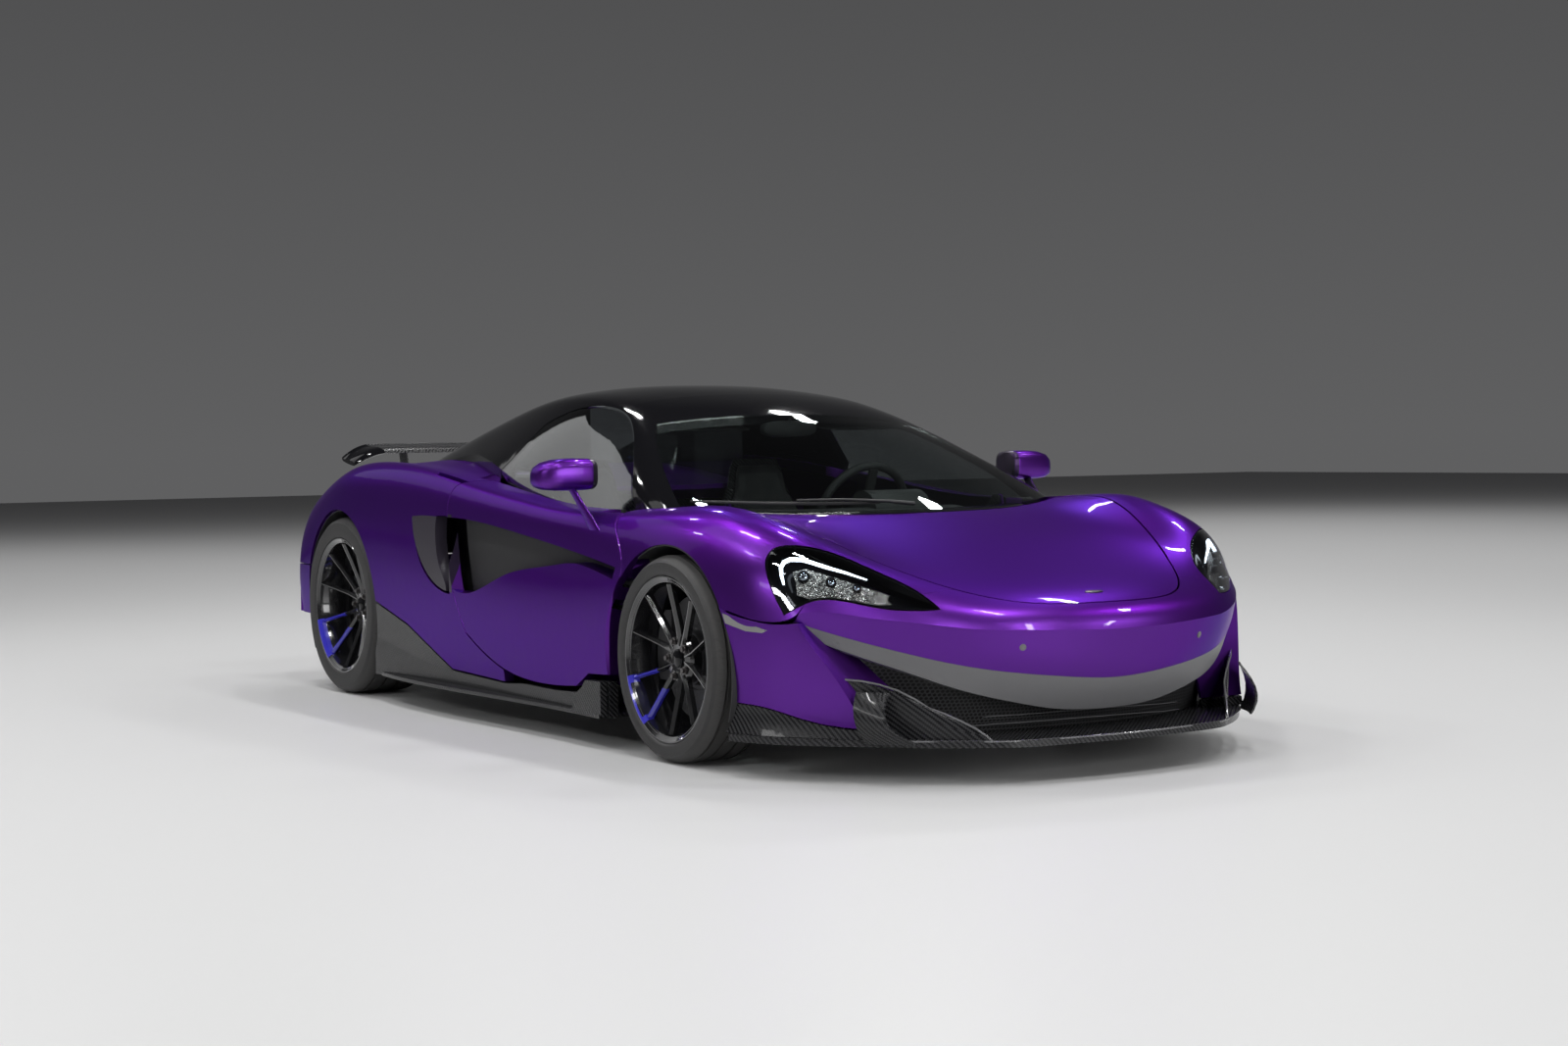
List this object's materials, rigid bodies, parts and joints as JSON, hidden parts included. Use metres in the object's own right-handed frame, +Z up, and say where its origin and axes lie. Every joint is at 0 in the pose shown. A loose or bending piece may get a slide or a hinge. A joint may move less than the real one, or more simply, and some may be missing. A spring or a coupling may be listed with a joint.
{
  "type": "supercar",
  "caption": "Low mid-engined two-seat supercar with a splitter nose, hook-shaped headlamps, scooped doors, flying buttresses, high rear wing and multi-spoke wheels.",
  "frame": {"origin": "on the ground under the middle of the car", "axes": "+X to the nose, +Y to the left side, +Z up"},
  "size_m": [4.602, 2.11, 1.1976],
  "materials": {
    "alloy": "machined alloy",
    "carbon": "lacquered carbon fibre",
    "cast": "cast block",
    "clear_glass": "clear glass",
    "gloss_black": "gloss black lacquer",
    "lamp_red": "red lens",
    "leather": "black leather",
    "lens": "clear lens",
    "moulding": "matt black moulding",
    "paint": "metallic purple lacquer",
    "satin_dark": "satin dark",
    "satin_grey": "satin grey moulding",
    "steel": "brushed steel",
    "tint": "tinted glass",
    "trim": "soft black interior trim",
    "tyre": "rubber",
    "wheel_black": "gloss black alloy"
  },
  "bodies": {
    "chassis": {"arch_liners": "moulding", "buttresses": "gloss_black", "centre_tunnel": "trim", "dashboard": "trim", "diffuser": "carbon", "engine": "cast", "exhausts": "steel", "front_bumper": "paint", "front_fenders": "paint", "front_intakes": "moulding", "front_suspension": "alloy", "headlamp_bowls": "gloss_black", "headlamp_lenses": "lens", "intake_blades": "satin_dark", "intake_ducts": "moulding", "luggage_tub": "moulding", "nose_panel": "satin_grey", "rear_bumper": "paint", "rear_carriers": "alloy", "rear_deck": "paint", "rear_quarters": "paint", "rear_suspension": "alloy", "rear_window": "tint", "rear_wing": "carbon", "roof": "gloss_black", "seats": "leather", "side_skirts": "carbon", "splitter": "carbon", "tail_lamps": "lamp_red", "tail_mesh": "moulding", "tub": "carbon", "underfloor": "carbon", "windscreen": "clear_glass", "windscreen_frame": "gloss_black"},
    "bonnet": {"bonnet": "paint"},
    "steering_wheel": {"steering_wheel": "trim"},
    "door_left": {"door_left": "paint", "door_glass_left": "tint", "door_channel_left": "moulding", "mirror_left": "paint"},
    "knuckle_left": {"knuckle_left": "alloy"},
    "wheel_front_left": {"rim_front_left": "wheel_black", "tyre_front_left": "tyre"},
    "wheel_rear_left": {"rim_rear_left": "wheel_black", "tyre_rear_left": "tyre"},
    "door_right": {"door_right": "paint", "door_glass_right": "tint", "door_channel_right": "moulding", "mirror_right": "paint"},
    "knuckle_right": {"knuckle_right": "alloy"},
    "wheel_front_right": {"rim_front_right": "wheel_black", "tyre_front_right": "tyre"},
    "wheel_rear_right": {"rim_rear_right": "wheel_black", "tyre_rear_right": "tyre"}
  },
  "joints": [
    {"name": "bonnet_hinge", "type": "hinge", "parent": "chassis", "child": "bonnet", "pos_m": [0.96, 0, 0.775], "axis": [0, -1, 0], "range_deg": [0, 50]},
    {"name": "door_left_hinge", "type": "hinge", "parent": "chassis", "child": "door_left", "pos_m": [0.834, 0.975, 0.25], "axis": [0.0807, 0.2341, -0.9688], "range_deg": [0, 70]},
    {"name": "door_right_hinge", "type": "hinge", "parent": "chassis", "child": "door_right", "pos_m": [0.834, -0.975, 0.25], "axis": [-0.0807, 0.2341, 0.9688], "range_deg": [0, 70]},
    {"name": "steer_left", "type": "hinge", "parent": "chassis", "child": "knuckle_left", "pos_m": [1.232, 0.775, 0.32], "axis": [0, 0, 1], "range_deg": [-28, 28]},
    {"name": "steer_right", "type": "hinge", "parent": "chassis", "child": "knuckle_right", "pos_m": [1.232, -0.775, 0.32], "axis": [0, 0, 1], "range_deg": [-28, 28]},
    {"name": "steering_wheel_turn", "type": "hinge", "parent": "chassis", "child": "steering_wheel", "pos_m": [0.37, 0.37, 0.72], "axis": [-0.9272, 0, 0.3746], "range_deg": [-364, 364]},
    {"name": "wheel_front_left_spin", "type": "hinge", "parent": "knuckle_left", "child": "wheel_front_left", "pos_m": [1.232, 0.84, 0.32], "axis": [0, 1, 0], "continuous": true},
    {"name": "wheel_front_right_spin", "type": "hinge", "parent": "knuckle_right", "child": "wheel_front_right", "pos_m": [1.232, -0.84, 0.32], "axis": [0, 1, 0], "continuous": true},
    {"name": "wheel_rear_left_spin", "type": "hinge", "parent": "chassis", "child": "wheel_rear_left", "pos_m": [-1.438, 0.7955, 0.353], "axis": [0, 1, 0], "continuous": true},
    {"name": "wheel_rear_right_spin", "type": "hinge", "parent": "chassis", "child": "wheel_rear_right", "pos_m": [-1.438, -0.7955, 0.353], "axis": [0, 1, 0], "continuous": true}
  ],
  "couplings": [
    {"joint": "steer_right", "follows": "steer_left", "ratio": 1},
    {"joint": "steering_wheel_turn", "follows": "steer_left", "ratio": 13}
  ]
}
